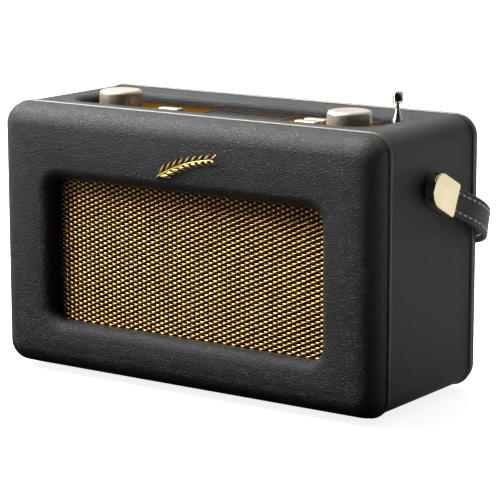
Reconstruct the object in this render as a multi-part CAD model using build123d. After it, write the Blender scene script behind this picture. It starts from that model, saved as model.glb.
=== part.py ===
from build123d import *
import math
import os

# A leather-covered portable radio with a carrying strap, in millimetres, +Z up, front towards -Y.
# The parts are drawn about the cabinet: x = 0 and y = 0 at its middle, z = 0 at its underside.
# They are written out moved, so that the floor is z = 0 and the whole radio is centred on Z.

# --- cabinet ---
WIDTH = 250.0
HEIGHT = 150.0
DEPTH = 108.0
CORNER_R = 12.0
WALL = 8.0
COVER_T = 1.2
FRONT_Y = -DEPTH / 2
BACK_Y = DEPTH / 2
MID_Z = HEIGHT / 2
SHELL_FRONT_Y = -37.7
SHELL_BACK_Y = 45.9
PIPING_T = 2.4
PIPING_PROUD = 0.9
PIPING_ROUND = 1.15
FRONT_ROUND = 11.9
BACK_ROUND = 4.0
SEAM_ROUND = 1.0
FIT = 0.3
THREAD_FIT = 0.05
OVERCUT = 1.0

# --- front opening and grille ---
GRILLE_HALF_X = 90.5
GRILLE_LOW_Z = 28.0
GRILLE_HIGH_Z = 109.5
GRILLE_MID_Z = (GRILLE_LOW_Z + GRILLE_HIGH_Z) / 2
GRILLE_R = 8.0
LIP_R = 7.5
GRILLE_Y = -44.0
GRILLE_T = 0.8
REBATE = 3.4
CLAMP_INSET = 4.5
PIPE_FRONT_Y = SHELL_FRONT_Y - PIPING_T
PIPE_BACK_Y = SHELL_BACK_Y + PIPING_T

# --- badge, a leaf sprig ---
BADGE_X = 3.0
BADGE_Z = 125.2
BADGE_TILT = 18.7
BADGE_T = 1.6
STEM_LENGTH = 40.0
STEM_W = 1.3
STEM_SAG_R = 90.0
LEAF_COUNT = 9
LEAF_LONG = 5.0
LEAF_SHORT = 1.6
LEAF_ANGLE = 38.0
LEAF_OFFSET = 3.4
LEAF_START = 0.6
LEAF_SHRINK = 0.35

# --- top well and control panel ---
WELL_HALF_X = 100.0
WELL_FRONT_Y = -23.0
WELL_BACK_Y = 28.0
WELL_R = 16.0
WELL_LIP = 4.0
WELL_Y = (WELL_FRONT_Y + WELL_BACK_Y) / 2
WELL_DEEP = WELL_BACK_Y - WELL_FRONT_Y
CAVITY_TOP_Z = HEIGHT - WALL
PANEL_TOP_Z = 144.3
PANEL_FLANGE_Z = 139.6
PANEL_FLANGE = 7.0
PANEL_SCREW_OUT = 4.2
PANEL_EDGE = 0.8
PANEL_SCREW_BORE = 5.0

# --- knobs and encoders ---
KNOB_X = 77.0
KNOB_Y = -2.4
KNOB_R = 12.5
KNOB_TAPER = 0.35
KNOB_LOW_Z = 145.3
KNOB_TOP_Z = 155.0
KNOB_EDGE_R = 2.6
KNOB_HOLLOW_R = 10.4
KNOB_HOLLOW_TOP_Z = 151.2
KNOB_HUB_R = 4.6
KNOB_HUB_SINK = 0.2
SHAFT_R = 3.0
SHAFT_TOP_Z = 152.5
SHAFT_LOW_Z = 133.8
BUSH_R = 3.5
BUSH_TOP_Z = 144.7
BOARD_LOW_Z = 129.4
BOARD_T = 1.6
BOARD_TOP_Z = BOARD_LOW_Z + BOARD_T
ENCODER_SIDE = 12.8
ENCODER_TOP_Z = 137.8
PLUNGER_T = 1.2
PLUNGER_R = 2.6
PRESS_TRAVEL = 0.6

# --- buttons ---
BUTTON_LONG = 14.0
BUTTON_WIDE = 5.5
BUTTON_TOP_Z = 146.0
BUTTON_LOW_Z = 136.6
BUTTON_FLANGE = 1.0
BUTTON_FLANGE_LOW_Z = 137.6
BUTTON_FLANGE_TOP_Z = 138.9
BUTTON_ROUND = 1.0
BUTTON_EDGE_R = 0.6
BUTTON_GAP = 0.25
BUTTON_PITCH = 9.5
BUTTON_TOP_Y = 14.0
LEFT_BUTTON_X = -47.0
RIGHT_BUTTON_X = 45.4
SWITCH_SIDE = 5.6
SWITCH_TOP_Z = 135.6

# --- display ---
WINDOW_Y = 8.5
WINDOW_LONG = 54.0
WINDOW_WIDE = 27.0
BEZEL_W = 1.4
BEZEL_PROUD = 0.3
WINDOW_R = 2.0
WINDOW_LOW_Z = 141.3
MODULE_LONG = 48.0
MODULE_WIDE = 22.0
MODULE_LOW_Z = 136.0
CONTROL_BOARD_LONG = 172.0
CONTROL_BOARD_WIDE = 44.0
CONTROL_BOARD_Y = 2.5
PILLAR_X = 62.0
PILLAR_Y = (-17.0, 21.5)
PILLAR_R = 3.0

# --- telescopic aerial ---
AERIAL_X = 93.6
AERIAL_Y = 19.4
AERIAL_BASE_R = 2.7
AERIAL_STEP_R = 0.35
AERIAL_WALL = 0.3
AERIAL_SECTIONS = 5
AERIAL_BASE_TOP_Z = 149.0
AERIAL_STEP_Z = 1.3
AERIAL_LOW_Z = 40.0
AERIAL_ROD_R = 0.95
AERIAL_FIT = 0.05
TIP_LOW_Z = 157.6
TIP_TOP_Z = 163.8
TIP_R = 3.0
TIP_ROUND = 0.7
BUSH_COLLAR_R = 3.7
BUSH_BODY_R = 3.4
BUSH_COLLAR_T = 1.0
BUSH_LOW_Z = 130.0
HOLDER_X = 88.5
HOLDER_HALF_Y = 6.0
HOLDER_LOW_Z = 34.0
HOLDER_HIGH_Z = 74.0
HOLDER_ARM_T = 10.0
HOLDER_BACK_T = 3.0

# --- loudspeaker ---
SPEAKER_X = -33.0
SPEAKER_Z = 54.0
BAFFLE_T = 6.0
BAFFLE_HOLE_R = 36.0
SPEAKER_FLANGE_R = 44.0
SPEAKER_FLANGE_T = 1.5
SPEAKER_SCREW_R = 41.0
SPEAKER_SCREWS = 4
SPEAKER_SCREW_BORE = 5.5
BASKET_FRONT_R = 37.5
BASKET_BACK_R = 24.0
BASKET_WALL = 1.2
BASKET_DEPTH = 20.0
BASKET_WINDOW = 16.0
BASKET_WINDOW_DEEP = 12.0
MAGNET_R = 23.0
MAGNET_T = 13.0
BACKPLATE_R = 19.0
BACKPLATE_T = 3.0
CONE_R = 31.5
CONE_NECK_R = 11.0
CONE_DEPTH = 13.0
CONE_T = 0.8
SURROUND_R = 35.0
DUST_CAP_RISE = 3.5
DUST_CAP_R = 12.8
DUST_CAP_BEHIND = 1.5
SURROUND_RISE = 1.2
SURROUND_SLOPE = 1.3
GLUE_GAP = 0.1

# --- rear panel ---
DOOR_X = -59.0
DOOR_LONG = 104.0
DOOR_LOW_Z = 16.0
DOOR_HIGH_Z = 72.0
DOOR_T = 3.0
DOOR_FIT = 0.4
HINGE_PIN_R = 1.0
HINGE_PIN_REACH = 2.5
FINGER_R = 6.0
FINGER_OUT = 4.2
FINGER_LONG = 20.0
SOCKET_X = 77.0
SOCKET_Z = 45.0
SOCKET_LONG = 62.0
SOCKET_HIGH = 30.0
SOCKET_R = 3.0
SOCKET_PLATE_T = 1.6
SOCKET_SINK = 1.2
SOCKET_PITCH = 18.0
JACK_BARREL_R = 3.2
JACK_BORE_R = 1.8
JACK_BORE_DEPTH = 12.0
JACK_SIDE = 8.0
DC_BARREL_R = 4.2
DC_BORE_R = 2.8
DC_PIN_R = 1.0
DC_SIDE = 9.6
DC_FLOOR_T = 3.0
REAR_SCREWS = ((-110.0, 135.0), (110.0, 135.0), (-110.0, 83.0), (110.0, 15.0), (4.0, 15.0))
BATTEN_SIDE = 14.0
BATTEN_FRONT_Y = 36.0

# --- battery bay, four C cells in two rows ---
CELL_R = 13.1
CELL_LONG = 50.0
CELL_GAP = 0.8
CELL_NUB_R = 3.0
CELL_NUB_T = 1.5
BAY_WALL = 2.0
BAY_FRONT_Y = 18.1
CONTACT_T = 0.5
CONTACT_W = 9.0

# --- main board ---
MAIN_X = 61.0
MAIN_LONG = 98.0
MAIN_LOW_Z = 26.0
MAIN_HIGH_Z = 112.0
MAIN_BACK_Y = 35.1
MAIN_FRONT_Y = MAIN_BACK_Y - BOARD_T
STANDOFF_R = 3.0
STANDOFF_BORE = 8.0
STANDOFF_X = (17.0, 105.0)
STANDOFF_Z = (31.0, 107.0)
TUNER_SIZE = (34.0, 5.0, 26.0)
TUNER_POS = (84.0, 88.0)
HEATSINK_SIZE = (26.0, 12.0, 22.0)
HEATSINK_POS = (34.0, 50.0)
FIN_COUNT = 6
FIN_T = 1.4
FIN_BASE = 2.0

# --- feet and screws ---
FOOT_H = 3.0
FOOT_R = 7.0
FOOT_ROUND = 0.8
FOOT_SCREW_SINK = 1.0
FOOT_X = 98.0
FOOT_Y = (-26.0, 34.0)
SCREW_R = 1.4
SCREW_HEAD_R = 2.7
SCREW_HEAD_T = 1.6
SLOT_W = 0.8
REAR_SCREW_LONG = 16.0
INNER_SCREW_LONG = 8.0

# --- handle ---
PIVOT_Y = 2.0
PIVOT_Z = 116.0
BOSS_R = 6.5
BOSS_T = 1.3
BOSS_EDGE = 0.4
PIVOT_R = 2.0
PIVOT_HEAD_R = 5.0
PIVOT_HEAD_T = 2.5
PIVOT_END_SINK = 0.2
CLIP_IN_X = 126.6
CLIP_OUT_X = 132.4
CLIP_R = 9.4
CLIP_REACH = 17.4
STRAP_W = 15.6
STRAP_T = 3.0
STRAP_X = 130.0
STRAP_DROOP = 26.4
STRAP_FLAT = 15.6
STRAP_SPLAY = 16.0
STRAP_SPLAY_R = 20.0
STRAP_LEG = 9.0
STRAP_BEND_R = 36.0

DROOP = math.radians(STRAP_DROOP)
SPLAY = math.radians(STRAP_SPLAY)
STRAP_REACH = (
    STRAP_FLAT
    + STRAP_SPLAY_R * math.sin(SPLAY)
    + STRAP_LEG * math.cos(SPLAY)
    + STRAP_BEND_R * (1 + math.sin(SPLAY))
)
HANDLE_BACK_Y = PIVOT_Y + (STRAP_REACH + STRAP_T / 2) * math.cos(DROOP) + STRAP_W / 2 * math.sin(DROOP)
SHIFT_Y = -(HANDLE_BACK_Y + FRONT_Y - BADGE_T) / 2
BIG = 400.0

nodes = {}
case_screws = []
inner_screws = []
standoffs = []
encoders = []


def upright(sketch, x, z, y_from, y_to):
    """A sketch drawn facing the front at (x, z), made solid from y_from back to y_to."""
    plane = Plane((x, y_from, z), x_dir=(1, 0, 0), z_dir=(0, -1, 0))
    return extrude(plane * sketch, amount=y_from - y_to)


def level(sketch, x, y, z_from, z_to):
    """A sketch drawn on the level at (x, y), made solid from z_from up to z_to."""
    return extrude(Pos(x, y, z_from) * sketch, amount=z_to - z_from)


def rod_x(radius, x_from, x_to, y, z):
    return Pos((x_from + x_to) / 2, y, z) * Rot(0, 90, 0) * Cylinder(radius, x_to - x_from)


def rod_y(radius, y_from, y_to, x, z):
    return Pos(x, (y_from + y_to) / 2, z) * Rot(90, 0, 0) * Cylinder(radius, y_to - y_from)


def rod_z(radius, z_from, z_to, x, y):
    return Pos(x, y, (z_from + z_to) / 2) * Cylinder(radius, z_to - z_from)


def block(x_from, x_to, y_from, y_to, z_from, z_to):
    middle = Pos((x_from + x_to) / 2, (y_from + y_to) / 2, (z_from + z_to) / 2)
    return middle * Box(x_to - x_from, y_to - y_from, z_to - z_from)


def group(solids):
    """Separate solids that share one node."""
    return Compound([solid for shape in solids for solid in shape.solids()])


def screw(length):
    """A cross-head screw along +Z: its head's top is at z = 0 and its point at z = -length."""
    body = Pos(0, 0, -SCREW_HEAD_T / 2) * Cylinder(SCREW_HEAD_R, SCREW_HEAD_T)
    body += Pos(0, 0, -(SCREW_HEAD_T + length) / 2) * Cylinder(SCREW_R, length - SCREW_HEAD_T)
    cross = Box(SCREW_HEAD_R, SLOT_W, SCREW_HEAD_T)
    return body - cross - Rot(0, 0, 90) * cross


def screw_hole(length):
    """The space that a screw takes, a little larger than the screw."""
    hole = Pos(0, 0, -SCREW_HEAD_T / 2 + WALL / 2) * Cylinder(
        SCREW_HEAD_R + THREAD_FIT, SCREW_HEAD_T + WALL
    )
    return hole + Pos(0, 0, -length / 2) * Cylinder(SCREW_R + THREAD_FIT, length)


def front_body(inset):
    """The front frame's outer form, with its padded opening, drawn in by inset."""
    outline = RectangleRounded(WIDTH - 2 * inset, HEIGHT - 2 * inset, CORNER_R - inset)
    body = upright(outline, 0, MID_Z, FRONT_Y + inset, PIPE_FRONT_Y)
    front = body.faces().sort_by(Axis.Y)[0]
    body = fillet(front.edges(), FRONT_ROUND - inset)
    opening = RectangleRounded(
        2 * (GRILLE_HALF_X + inset),
        GRILLE_HIGH_Z - GRILLE_LOW_Z + 2 * inset,
        GRILLE_R + inset,
    )
    body -= upright(opening, 0, GRILLE_MID_Z, FRONT_Y - OVERCUT, PIPE_FRONT_Y + OVERCUT)
    front = body.faces().sort_by(Axis.Y)[0]
    return fillet(front.inner_wires()[0].edges(), LIP_R - inset)


def grille_sketch(grow):
    return RectangleRounded(
        2 * (GRILLE_HALF_X + grow), GRILLE_HIGH_Z - GRILLE_LOW_Z + 2 * grow, GRILLE_R + grow
    )


def make_front():
    rebate = upright(grille_sketch(REBATE), 0, GRILLE_MID_Z, GRILLE_Y, PIPE_FRONT_Y + OVERCUT)
    outer = front_body(0)
    core = front_body(COVER_T)
    nodes["front_cover"] = outer - core - rebate
    nodes["front_frame"] = core - rebate
    plate = grille_sketch(REBATE - FIT)
    nodes["grille_mesh"] = upright(plate, 0, GRILLE_MID_Z, GRILLE_Y, GRILLE_Y + GRILLE_T)
    ring = plate - grille_sketch(-CLAMP_INSET)
    nodes["grille_clamp"] = upright(
        ring, 0, GRILLE_MID_Z, GRILLE_Y + GRILLE_T, PIPE_FRONT_Y
    )


def piping(y_from):
    """A welt that follows the cabinet's outline, with a rounded bead standing proud."""
    outline = RectangleRounded(
        WIDTH + 2 * PIPING_PROUD, HEIGHT + 2 * PIPING_PROUD, CORNER_R + PIPING_PROUD
    )
    body = upright(outline, 0, MID_Z, y_from, y_from + PIPING_T)
    ends = body.faces().sort_by(Axis.Y)
    body = fillet(ends[0].edges() + ends[-1].edges(), PIPING_ROUND)
    inside = Rectangle(WIDTH - 2 * WALL, HEIGHT - 2 * WALL)
    return body - upright(inside, 0, MID_Z, y_from - OVERCUT, y_from + PIPING_T + OVERCUT)


def shell_block(inset):
    """The cabinet's outer form with its top well, drawn in by inset and still solid inside."""
    outline = RectangleRounded(WIDTH - 2 * inset, HEIGHT - 2 * inset, CORNER_R - inset)
    body = upright(outline, 0, MID_Z, SHELL_FRONT_Y, SHELL_BACK_Y)
    if inset == 0:
        ends = body.faces().sort_by(Axis.Y)
        body = fillet(ends[0].edges() + ends[-1].edges(), SEAM_ROUND)
    well = RectangleRounded(
        2 * (WELL_HALF_X + inset), WELL_DEEP + 2 * inset, WELL_R + inset
    )
    body -= level(well, 0, WELL_Y, CAVITY_TOP_Z, HEIGHT + OVERCUT)
    top = body.faces().filter_by(Axis.Z).sort_by(Axis.Z)[-1]
    return fillet(top.inner_wires()[0].edges(), WELL_LIP - inset)


def make_cabinet():
    cavity = upright(
        Rectangle(WIDTH - 2 * WALL, HEIGHT - 2 * WALL),
        0,
        MID_Z,
        SHELL_FRONT_Y - OVERCUT,
        SHELL_BACK_Y + OVERCUT,
    )
    pivot_holes = rod_x(PIVOT_R + THREAD_FIT, -BIG, BIG, PIVOT_Y, PIVOT_Z)
    core = shell_block(COVER_T)
    cover = shell_block(0) - core - pivot_holes
    shell = core - cavity - pivot_holes
    for x in (-FOOT_X, FOOT_X):
        for y in FOOT_Y:
            hole = rod_z(SCREW_R + THREAD_FIT, -OVERCUT, WALL - OVERCUT, x, y)
            shell -= hole
            cover -= hole
    for x, y in panel_screw_places():
        shell -= rod_z(SCREW_R + THREAD_FIT, CAVITY_TOP_Z - OVERCUT, CAVITY_TOP_Z + PANEL_SCREW_BORE, x, y)
    nodes["cabinet_shell"] = shell
    nodes["cabinet_cover"] = cover
    nodes["front_piping"] = piping(PIPE_FRONT_Y)
    nodes["rear_piping"] = piping(SHELL_BACK_Y)


def rear_body():
    outline = RectangleRounded(WIDTH, HEIGHT, CORNER_R)
    body = upright(outline, 0, MID_Z, PIPE_BACK_Y, BACK_Y)
    back = body.faces().sort_by(Axis.Y)[-1]
    return fillet(back.edges(), BACK_ROUND)


def door_hinge_y():
    return BACK_Y - DOOR_T / 2


def door_hinge_z():
    return DOOR_LOW_Z + DOOR_FIT + DOOR_T / 2


def make_rear():
    door_mid_z = (DOOR_LOW_Z + DOOR_HIGH_Z) / 2
    door_hole = upright(
        Rectangle(DOOR_LONG, DOOR_HIGH_Z - DOOR_LOW_Z),
        DOOR_X,
        door_mid_z,
        PIPE_BACK_Y - OVERCUT,
        BACK_Y + OVERCUT,
    )
    socket_hole = upright(
        RectangleRounded(SOCKET_LONG, SOCKET_HIGH, SOCKET_R),
        SOCKET_X,
        SOCKET_Z,
        PIPE_BACK_Y - OVERCUT,
        BACK_Y + OVERCUT,
    )
    pin_reach = DOOR_LONG / 2 + HINGE_PIN_REACH + FIT
    pin_bore = rod_x(
        HINGE_PIN_R + THREAD_FIT, DOOR_X - pin_reach, DOOR_X + pin_reach, door_hinge_y(), door_hinge_z()
    )
    panel = rear_body() - pin_bore - door_hole - socket_hole
    battens = []
    for x, z in REAR_SCREWS:
        place = Pos(x, BACK_Y, z) * Rot(-90, 0, 0)
        case_screws.append(place * screw(REAR_SCREW_LONG))
        hole = place * screw_hole(REAR_SCREW_LONG)
        panel -= hole
        half = BATTEN_SIDE / 2
        side = block(x - half, x + half, BATTEN_FRONT_Y, PIPE_BACK_Y, z - half, z + half)
        battens.append(side - hole)
    nodes["rear_panel"] = panel
    nodes["rear_battens"] = group(battens)


def make_battery_door():
    low = DOOR_LOW_Z + DOOR_FIT
    high = DOOR_HIGH_Z - DOOR_FIT
    half = DOOR_LONG / 2 - DOOR_FIT
    plate = block(DOOR_X - half, DOOR_X + half, BACK_Y - DOOR_T, BACK_Y, door_hinge_z(), high)
    barrel = rod_x(DOOR_T / 2, DOOR_X - half, DOOR_X + half, door_hinge_y(), door_hinge_z())
    reach = DOOR_LONG / 2 + HINGE_PIN_REACH
    pins = rod_x(HINGE_PIN_R, DOOR_X - reach, DOOR_X + reach, door_hinge_y(), door_hinge_z())
    grip = Pos(DOOR_X, BACK_Y + FINGER_OUT, high) * Rot(0, 90, 0) * Cylinder(FINGER_R, FINGER_LONG)
    nodes["battery_door"] = plate + barrel + pins - grip


def make_battery_bay():
    outer = block(
        DOOR_X - DOOR_LONG / 2 - BAY_WALL,
        DOOR_X + DOOR_LONG / 2 + BAY_WALL,
        BAY_FRONT_Y,
        PIPE_BACK_Y,
        DOOR_LOW_Z - BAY_WALL,
        DOOR_HIGH_Z + BAY_WALL,
    )
    inner = block(
        DOOR_X - DOOR_LONG / 2,
        DOOR_X + DOOR_LONG / 2,
        BAY_FRONT_Y + BAY_WALL,
        PIPE_BACK_Y + OVERCUT,
        DOOR_LOW_Z,
        DOOR_HIGH_Z,
    )
    nodes["battery_box"] = outer - inner
    cell_y = BAY_FRONT_Y + BAY_WALL + CELL_R
    rows = (DOOR_LOW_Z + CELL_GAP + CELL_R, DOOR_LOW_Z + 2 * CELL_GAP + 3 * CELL_R)
    cells = []
    contacts = []
    for row, z in enumerate(rows):
        for side in (-1, 1):
            middle = DOOR_X + side * (CELL_LONG / 2 + FIT)
            can_half = CELL_LONG / 2 - CELL_NUB_T
            can = rod_x(CELL_R, middle - can_half, middle + can_half, cell_y, z)
            nub_side = 1 if row == 0 else -1
            nub_x = middle + nub_side * (CELL_LONG - CELL_NUB_T) / 2
            nub = rod_x(CELL_NUB_R, nub_x - CELL_NUB_T / 2, nub_x + CELL_NUB_T / 2, cell_y, z)
            cells.append(can + nub)
            wall_x = DOOR_X + side * DOOR_LONG / 2
            inner_x = wall_x - side * CONTACT_T
            contacts.append(
                block(
                    min(wall_x, inner_x),
                    max(wall_x, inner_x),
                    cell_y - CONTACT_W / 2,
                    cell_y + CONTACT_W / 2,
                    z - CONTACT_W,
                    z + CONTACT_W,
                )
            )
    nodes["battery_cells"] = group(cells)
    nodes["battery_contacts"] = group(contacts)


def make_sockets():
    plate_back = BACK_Y - SOCKET_SINK
    plate = upright(
        RectangleRounded(SOCKET_LONG - FIT, SOCKET_HIGH - FIT, SOCKET_R),
        SOCKET_X,
        SOCKET_Z,
        plate_back - SOCKET_PLATE_T,
        plate_back,
    )
    dc_x = SOCKET_X + SOCKET_PITCH
    jacks = []
    for x in (SOCKET_X - SOCKET_PITCH, SOCKET_X):
        half = JACK_SIDE / 2
        body = block(
            x - half, x + half, MAIN_BACK_Y, plate_back - SOCKET_PLATE_T, SOCKET_Z - half, SOCKET_Z + half
        )
        body += rod_y(JACK_BARREL_R, MAIN_BACK_Y, plate_back, x, SOCKET_Z)
        body -= rod_y(JACK_BORE_R, plate_back - JACK_BORE_DEPTH, plate_back + OVERCUT, x, SOCKET_Z)
        plate -= rod_y(JACK_BARREL_R + THREAD_FIT, -BIG, BIG, x, SOCKET_Z)
        jacks.append(body)
    half = DC_SIDE / 2
    body = block(
        dc_x - half, dc_x + half, MAIN_BACK_Y, plate_back - SOCKET_PLATE_T, SOCKET_Z - half, SOCKET_Z + half
    )
    body += rod_y(DC_BARREL_R, MAIN_BACK_Y, plate_back, dc_x, SOCKET_Z)
    body -= rod_y(DC_BORE_R, MAIN_BACK_Y + DC_FLOOR_T, plate_back + OVERCUT, dc_x, SOCKET_Z)
    body += rod_y(DC_PIN_R, MAIN_BACK_Y + DC_FLOOR_T / 2, plate_back - OVERCUT, dc_x, SOCKET_Z)
    plate -= rod_y(DC_BARREL_R + THREAD_FIT, -BIG, BIG, dc_x, SOCKET_Z)
    nodes["jack_sockets"] = group(jacks)
    nodes["dc_socket"] = body
    nodes["socket_plate"] = plate


def make_main_board():
    board = block(
        MAIN_X - MAIN_LONG / 2, MAIN_X + MAIN_LONG / 2, MAIN_FRONT_Y, MAIN_BACK_Y, MAIN_LOW_Z, MAIN_HIGH_Z
    )
    for x in STANDOFF_X:
        for z in STANDOFF_Z:
            hole = rod_y(SCREW_R + THREAD_FIT, MAIN_FRONT_Y - OVERCUT, MAIN_BACK_Y + STANDOFF_BORE, x, z)
            board -= hole
            standoffs.append(rod_y(STANDOFF_R, MAIN_BACK_Y, PIPE_BACK_Y, x, z) - hole)
            place = Pos(x, MAIN_FRONT_Y - SCREW_HEAD_T, z) * Rot(90, 0, 0)
            inner_screws.append(place * screw(INNER_SCREW_LONG))
    nodes["main_board"] = board
    long, deep, high = TUNER_SIZE
    x, z = TUNER_POS
    nodes["tuner_module"] = block(
        x - long / 2, x + long / 2, MAIN_FRONT_Y - deep, MAIN_FRONT_Y, z - high / 2, z + high / 2
    )
    long, deep, high = HEATSINK_SIZE
    x, z = HEATSINK_POS
    base_y = MAIN_FRONT_Y - FIN_BASE
    sink = block(x - long / 2, x + long / 2, base_y, MAIN_FRONT_Y, z - high / 2, z + high / 2)
    for i in range(FIN_COUNT):
        fin_x = x - long / 2 + FIN_T / 2 + i * (long - FIN_T) / (FIN_COUNT - 1)
        sink += block(
            fin_x - FIN_T / 2, fin_x + FIN_T / 2, MAIN_FRONT_Y - deep, base_y, z - high / 2, z + high / 2
        )
    nodes["amplifier_heatsink"] = sink


def panel_screw_places():
    x = WELL_HALF_X + PANEL_SCREW_OUT
    return [(side * x, WELL_Y + end * WELL_DEEP / 4) for side in (-1, 1) for end in (-1, 1)]


def button_places():
    """Each button's name and centre, three on the left and four on the right."""
    left = ("power_button", "source_button", "alarm_button")
    right = ("menu_button", "info_button", "preset_one_button", "preset_two_button")
    places = [(name, LEFT_BUTTON_X, BUTTON_TOP_Y - (i + 1) * BUTTON_PITCH) for i, name in enumerate(left)]
    places += [(name, RIGHT_BUTTON_X, BUTTON_TOP_Y - i * BUTTON_PITCH) for i, name in enumerate(right)]
    return places


def make_control_panel():
    flange = RectangleRounded(
        2 * (WELL_HALF_X + PANEL_FLANGE), WELL_DEEP + 2 * PANEL_FLANGE, WELL_R + PANEL_FLANGE
    )
    plate = RectangleRounded(2 * WELL_HALF_X - FIT, WELL_DEEP - FIT, WELL_R - FIT / 2)
    panel = level(flange, 0, WELL_Y, PANEL_FLANGE_Z, CAVITY_TOP_Z)
    panel += level(plate, 0, WELL_Y, CAVITY_TOP_Z, PANEL_TOP_Z)
    top = panel.faces().filter_by(Axis.Z).sort_by(Axis.Z)[-1]
    panel = chamfer(top.edges(), PANEL_EDGE)
    for side in (-1, 1):
        panel -= rod_z(BUSH_R + THREAD_FIT, 0, HEIGHT, side * KNOB_X, KNOB_Y)
    for _, x, y in button_places():
        slot = RectangleRounded(BUTTON_LONG + 2 * BUTTON_GAP, BUTTON_WIDE + 2 * BUTTON_GAP, BUTTON_ROUND)
        panel -= level(slot, x, y, 0, HEIGHT)
    panel -= level(RectangleRounded(WINDOW_LONG + FIT, WINDOW_WIDE + FIT, WINDOW_R), 0, WINDOW_Y, 0, HEIGHT)
    panel -= rod_z(BUSH_BODY_R + THREAD_FIT, 0, HEIGHT, AERIAL_X, AERIAL_Y)
    for x, y in panel_screw_places():
        panel -= rod_z(SCREW_R + THREAD_FIT, 0, HEIGHT, x, y)
        spot = Pos(x, y, PANEL_FLANGE_Z - SCREW_HEAD_T)
        inner_screws.append(spot * Rot(180, 0, 0) * screw(INNER_SCREW_LONG))
    nodes["control_panel"] = panel


def make_buttons():
    switches = []
    for name, x, y in button_places():
        outline = RectangleRounded(BUTTON_LONG, BUTTON_WIDE, BUTTON_ROUND)
        cap = level(outline, x, y, BUTTON_LOW_Z, BUTTON_TOP_Z)
        top = cap.faces().sort_by(Axis.Z)[-1]
        cap = fillet(top.edges(), BUTTON_EDGE_R)
        brim = Rectangle(BUTTON_LONG + 2 * BUTTON_FLANGE, BUTTON_WIDE + 2 * BUTTON_FLANGE)
        cap += level(brim, x, y, BUTTON_FLANGE_LOW_Z, BUTTON_FLANGE_TOP_Z)
        nodes[name] = cap
        switches.append(level(Rectangle(SWITCH_SIDE, SWITCH_SIDE), x, y, BOARD_TOP_Z, SWITCH_TOP_Z))
    nodes["tact_switches"] = group(switches)


def knob(x):
    body = Pos(x, KNOB_Y, (KNOB_LOW_Z + KNOB_TOP_Z) / 2) * Cone(
        KNOB_R, KNOB_R - KNOB_TAPER, KNOB_TOP_Z - KNOB_LOW_Z
    )
    top = body.faces().sort_by(Axis.Z)[-1]
    body = fillet(top.edges(), KNOB_EDGE_R)
    hollow = rod_z(KNOB_HOLLOW_R, KNOB_LOW_Z - OVERCUT, KNOB_HOLLOW_TOP_Z, x, KNOB_Y)
    hub = rod_z(KNOB_HUB_R, KNOB_LOW_Z + KNOB_HUB_SINK, KNOB_HOLLOW_TOP_Z, x, KNOB_Y)
    body = body - hollow + hub
    bore = rod_z(SHAFT_R + THREAD_FIT, KNOB_LOW_Z - OVERCUT, SHAFT_TOP_Z + THREAD_FIT, x, KNOB_Y)
    return body - bore


def encoder(x, floor_z):
    side = Rectangle(ENCODER_SIDE, ENCODER_SIDE)
    body = level(side, x, KNOB_Y, BOARD_TOP_Z, ENCODER_TOP_Z)
    body += rod_z(BUSH_R, ENCODER_TOP_Z, BUSH_TOP_Z, x, KNOB_Y)
    return body - rod_z(SHAFT_R + THREAD_FIT, floor_z, HEIGHT, x, KNOB_Y)


def make_knobs():
    plunger_low_z = SHAFT_LOW_Z - PLUNGER_T
    nodes["volume_knob"] = knob(-KNOB_X)
    nodes["volume_shaft"] = rod_z(SHAFT_R, SHAFT_LOW_Z, SHAFT_TOP_Z, -KNOB_X, KNOB_Y)
    encoders.append(encoder(-KNOB_X, SHAFT_LOW_Z - THREAD_FIT))
    nodes["tuning_knob"] = knob(KNOB_X)
    nodes["tuning_shaft"] = rod_z(SHAFT_R, SHAFT_LOW_Z, SHAFT_TOP_Z, KNOB_X, KNOB_Y)
    encoders.append(encoder(KNOB_X, plunger_low_z - PRESS_TRAVEL - FIT))
    nodes["encoders"] = group(encoders)
    nodes["tuning_plunger"] = rod_z(
        PLUNGER_R, plunger_low_z, SHAFT_LOW_Z - THREAD_FIT, KNOB_X, KNOB_Y
    )


def make_display():
    frame = RectangleRounded(WINDOW_LONG, WINDOW_WIDE, WINDOW_R) - Rectangle(
        WINDOW_LONG - 2 * BEZEL_W, WINDOW_WIDE - 2 * BEZEL_W
    )
    nodes["display_bezel"] = level(frame, 0, WINDOW_Y, WINDOW_LOW_Z, PANEL_TOP_Z + BEZEL_PROUD)
    glass = Rectangle(WINDOW_LONG - 2 * BEZEL_W - THREAD_FIT, WINDOW_WIDE - 2 * BEZEL_W - THREAD_FIT)
    nodes["display_window"] = level(glass, 0, WINDOW_Y, WINDOW_LOW_Z, PANEL_TOP_Z)
    nodes["display_module"] = level(
        Rectangle(MODULE_LONG, MODULE_WIDE), 0, WINDOW_Y, MODULE_LOW_Z, WINDOW_LOW_Z
    )


def make_control_board():
    board = level(
        Rectangle(CONTROL_BOARD_LONG, CONTROL_BOARD_WIDE), 0, CONTROL_BOARD_Y, BOARD_LOW_Z, BOARD_TOP_Z
    )
    for x in (-PILLAR_X, PILLAR_X):
        for y in PILLAR_Y:
            hole = rod_z(SCREW_R + THREAD_FIT, BOARD_LOW_Z - OVERCUT, PANEL_FLANGE_Z - OVERCUT, x, y)
            board -= hole
            standoffs.append(rod_z(PILLAR_R, BOARD_TOP_Z, PANEL_FLANGE_Z, x, y) - hole)
            spot = Pos(x, y, BOARD_LOW_Z - SCREW_HEAD_T)
            inner_screws.append(spot * Rot(180, 0, 0) * screw(INNER_SCREW_LONG))
    nodes["control_board"] = board


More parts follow.
